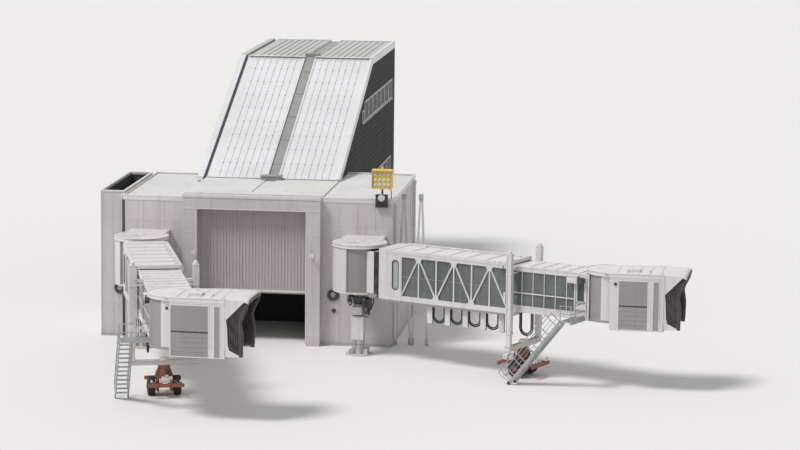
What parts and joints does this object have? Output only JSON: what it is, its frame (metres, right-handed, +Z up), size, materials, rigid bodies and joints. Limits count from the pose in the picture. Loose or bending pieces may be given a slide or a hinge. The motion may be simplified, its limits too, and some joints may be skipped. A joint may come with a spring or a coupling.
{
  "type": "airport gate with two apron drive jet bridges, 1:2 scale model",
  "caption": "Half-scale airport gate: fixed link cut off at the terminal wall, portal, side wings and telescopic boarding arms on wheeled lift columns.",
  "frame": {"origin": "centre of the right arm's pedestal base plate, on the apron", "axes": "+Z up, +Y towards the terminal along the fixed link, +X to the right along the terminal"},
  "size_m": [20.0236, 31.9084, 8.44],
  "materials": {
    "painted_steel": "satin",
    "grey_steel": "satin",
    "dark_cladding": "satin",
    "roof_sheet": "satin",
    "roof_grey": "satin",
    "galvanised": "matte",
    "tunnel_glass": "clear",
    "tyre": "matte",
    "bogie_red": "satin",
    "bellows": "matte",
    "sign_yellow": "matte"
  },
  "bodies": {
    "gate_building": {"portal_frame": "painted_steel", "portal_cladding": "grey_steel", "link_right_wall": "dark_cladding", "link_left_wall": "grey_steel", "link_glass": "tunnel_glass", "link_floors": "grey_steel", "link_cross_walls": "dark_cladding", "node_roof": "roof_sheet", "slope_roof": "roof_sheet", "upper_roof": "roof_grey", "undercroft_columns": "painted_steel", "right_wing_walls": "painted_steel", "right_wing_roof": "painted_steel", "left_wing_walls": "painted_steel", "left_wing_roof": "painted_steel", "screen_tower": "painted_steel", "masts": "painted_steel", "sign": "sign_yellow", "right_pedestal": "painted_steel", "right_lobby": "painted_steel", "left_pedestal": "painted_steel", "left_lobby": "painted_steel"},
    "right_rotunda_turret": {"right_drum": "grey_steel"},
    "right_outer_tunnel": {"right_tunnel_a_deck": "painted_steel", "right_tunnel_a_sides": "painted_steel", "right_tunnel_a_glass": "tunnel_glass", "right_festoon": "painted_steel"},
    "right_inner_tunnel": {"right_tunnel_b_deck": "painted_steel", "right_tunnel_b_sides": "painted_steel", "right_tunnel_b_glass": "tunnel_glass", "right_lift_columns": "painted_steel", "right_landing": "galvanised"},
    "right_lift_legs": {"right_drive_beam": "painted_steel"},
    "right_wheel_bogie": {"right_bogie": "bogie_red"},
    "right_near_wheel": {"right_wheel_1": "tyre"},
    "right_far_wheel": {"right_wheel_2": "tyre"},
    "right_cab": {"right_cab_floor": "grey_steel", "right_cab_walls": "painted_steel", "right_cab_roof": "painted_steel", "right_canopy": "bellows"},
    "right_service_stair": {"right_stair": "galvanised"},
    "left_rotunda_turret": {"left_drum": "grey_steel"},
    "left_outer_tunnel": {"left_tunnel_a_deck": "painted_steel", "left_tunnel_a_sides": "painted_steel", "left_tunnel_a_glass": "tunnel_glass", "left_festoon": "painted_steel"},
    "left_inner_tunnel": {"left_tunnel_b_deck": "painted_steel", "left_tunnel_b_sides": "painted_steel", "left_tunnel_b_glass": "tunnel_glass", "left_lift_columns": "painted_steel", "left_landing": "galvanised"},
    "left_lift_legs": {"left_drive_beam": "painted_steel"},
    "left_wheel_bogie": {"left_bogie": "bogie_red"},
    "left_near_wheel": {"left_wheel_1": "tyre"},
    "left_far_wheel": {"left_wheel_2": "tyre"},
    "left_cab": {"left_cab_floor": "grey_steel", "left_cab_walls": "painted_steel", "left_cab_roof": "painted_steel", "left_canopy": "bellows"},
    "left_service_stair": {"left_stair": "galvanised"}
  },
  "joints": [
    {"name": "right_swing", "type": "hinge", "parent": "gate_building", "child": "right_rotunda_turret", "pos_m": [0, 0, 2.11], "axis": [0, 0, 1], "range_deg": [-40, 21.5]},
    {"name": "right_pitch", "type": "hinge", "parent": "right_rotunda_turret", "child": "right_outer_tunnel", "pos_m": [0.94095, -0.41894, 2.065], "axis": [-0.4067, -0.9135, 0], "range_deg": [-4, 4]},
    {"name": "right_extend", "type": "slide", "parent": "right_outer_tunnel", "child": "right_inner_tunnel", "axis": [0.9135, -0.4067, 0], "range_m": [0, 3.25]},
    {"name": "right_lift", "type": "slide", "parent": "right_inner_tunnel", "child": "right_lift_legs", "axis": [0, 0, -1], "range_m": [-0.36, 0.36]},
    {"name": "right_steer", "type": "hinge", "parent": "right_lift_legs", "child": "right_wheel_bogie", "pos_m": [5.63657, -2.50956, 1], "axis": [0, 0, 1], "range_deg": [-90, 90]},
    {"name": "right_near_wheel_spin", "type": "hinge", "parent": "right_wheel_bogie", "child": "right_near_wheel", "pos_m": [5.79927, -2.14415, 0.3], "axis": [0.4067, 0.9135, 0], "continuous": true},
    {"name": "right_far_wheel_spin", "type": "hinge", "parent": "right_wheel_bogie", "child": "right_far_wheel", "pos_m": [5.47388, -2.87498, 0.3], "axis": [0.4067, 0.9135, 0], "continuous": true},
    {"name": "right_cab_turn", "type": "hinge", "parent": "right_inner_tunnel", "child": "right_cab", "pos_m": [8.4503, -3.76231, 2.2], "axis": [0, 0, 1], "range_deg": [-52.5, 72.5]},
    {"name": "right_stair_hinge", "type": "hinge", "parent": "right_inner_tunnel", "child": "right_service_stair", "pos_m": [7.00799, -4.54319, 2.197], "axis": [-0.4067, -0.9135, 0], "range_deg": [-13, 13]},
    {"name": "left_swing", "type": "hinge", "parent": "gate_building", "child": "left_rotunda_turret", "pos_m": [-7.3, 0, 2.11], "axis": [0, 0, 1], "range_deg": [-15, 15]},
    {"name": "left_pitch", "type": "hinge", "parent": "left_rotunda_turret", "child": "left_outer_tunnel", "pos_m": [-6.99886, -0.98499, 2.065], "axis": [-0.9563, -0.2924, 0], "range_deg": [-3.1, 3.1]},
    {"name": "left_extend", "type": "slide", "parent": "left_outer_tunnel", "child": "left_inner_tunnel", "axis": [0.2924, -0.9563, 0], "range_m": [-1.5, 1.75]},
    {"name": "left_lift", "type": "slide", "parent": "left_inner_tunnel", "child": "left_lift_legs", "axis": [0, 0, -1], "range_m": [-0.36, 0.36]},
    {"name": "left_steer", "type": "hinge", "parent": "left_lift_legs", "child": "left_wheel_bogie", "pos_m": [-5.05751, -7.33486, 1], "axis": [0, 0, 1], "range_deg": [-90, 90]},
    {"name": "left_near_wheel_spin", "type": "hinge", "parent": "left_wheel_bogie", "child": "left_near_wheel", "pos_m": [-4.67499, -7.21791, 0.3], "axis": [0.9563, 0.2924, 0], "continuous": true},
    {"name": "left_far_wheel_spin", "type": "hinge", "parent": "left_wheel_bogie", "child": "left_far_wheel", "pos_m": [-5.44003, -7.45181, 0.3], "axis": [0.9563, 0.2924, 0], "continuous": true},
    {"name": "left_cab_turn", "type": "hinge", "parent": "left_inner_tunnel", "child": "left_cab", "pos_m": [-4.157, -10.28028, 2.2], "axis": [0, 0, 1], "range_deg": [-102.5, 22.5]},
    {"name": "left_stair_hinge", "type": "hinge", "parent": "left_inner_tunnel", "child": "left_service_stair", "pos_m": [-5.69257, -9.70406, 2.197], "axis": [-0.9563, -0.2924, 0], "range_deg": [-13, 13]}
  ],
  "couplings": [
    {"joint": "right_lift", "follows": "right_pitch", "m_per_rad": 5.14},
    {"joint": "right_stair_hinge", "follows": "right_pitch", "ratio": 3.124},
    {"joint": "left_lift", "follows": "left_pitch", "m_per_rad": 6.64},
    {"joint": "left_stair_hinge", "follows": "left_pitch", "ratio": 3.98}
  ]
}
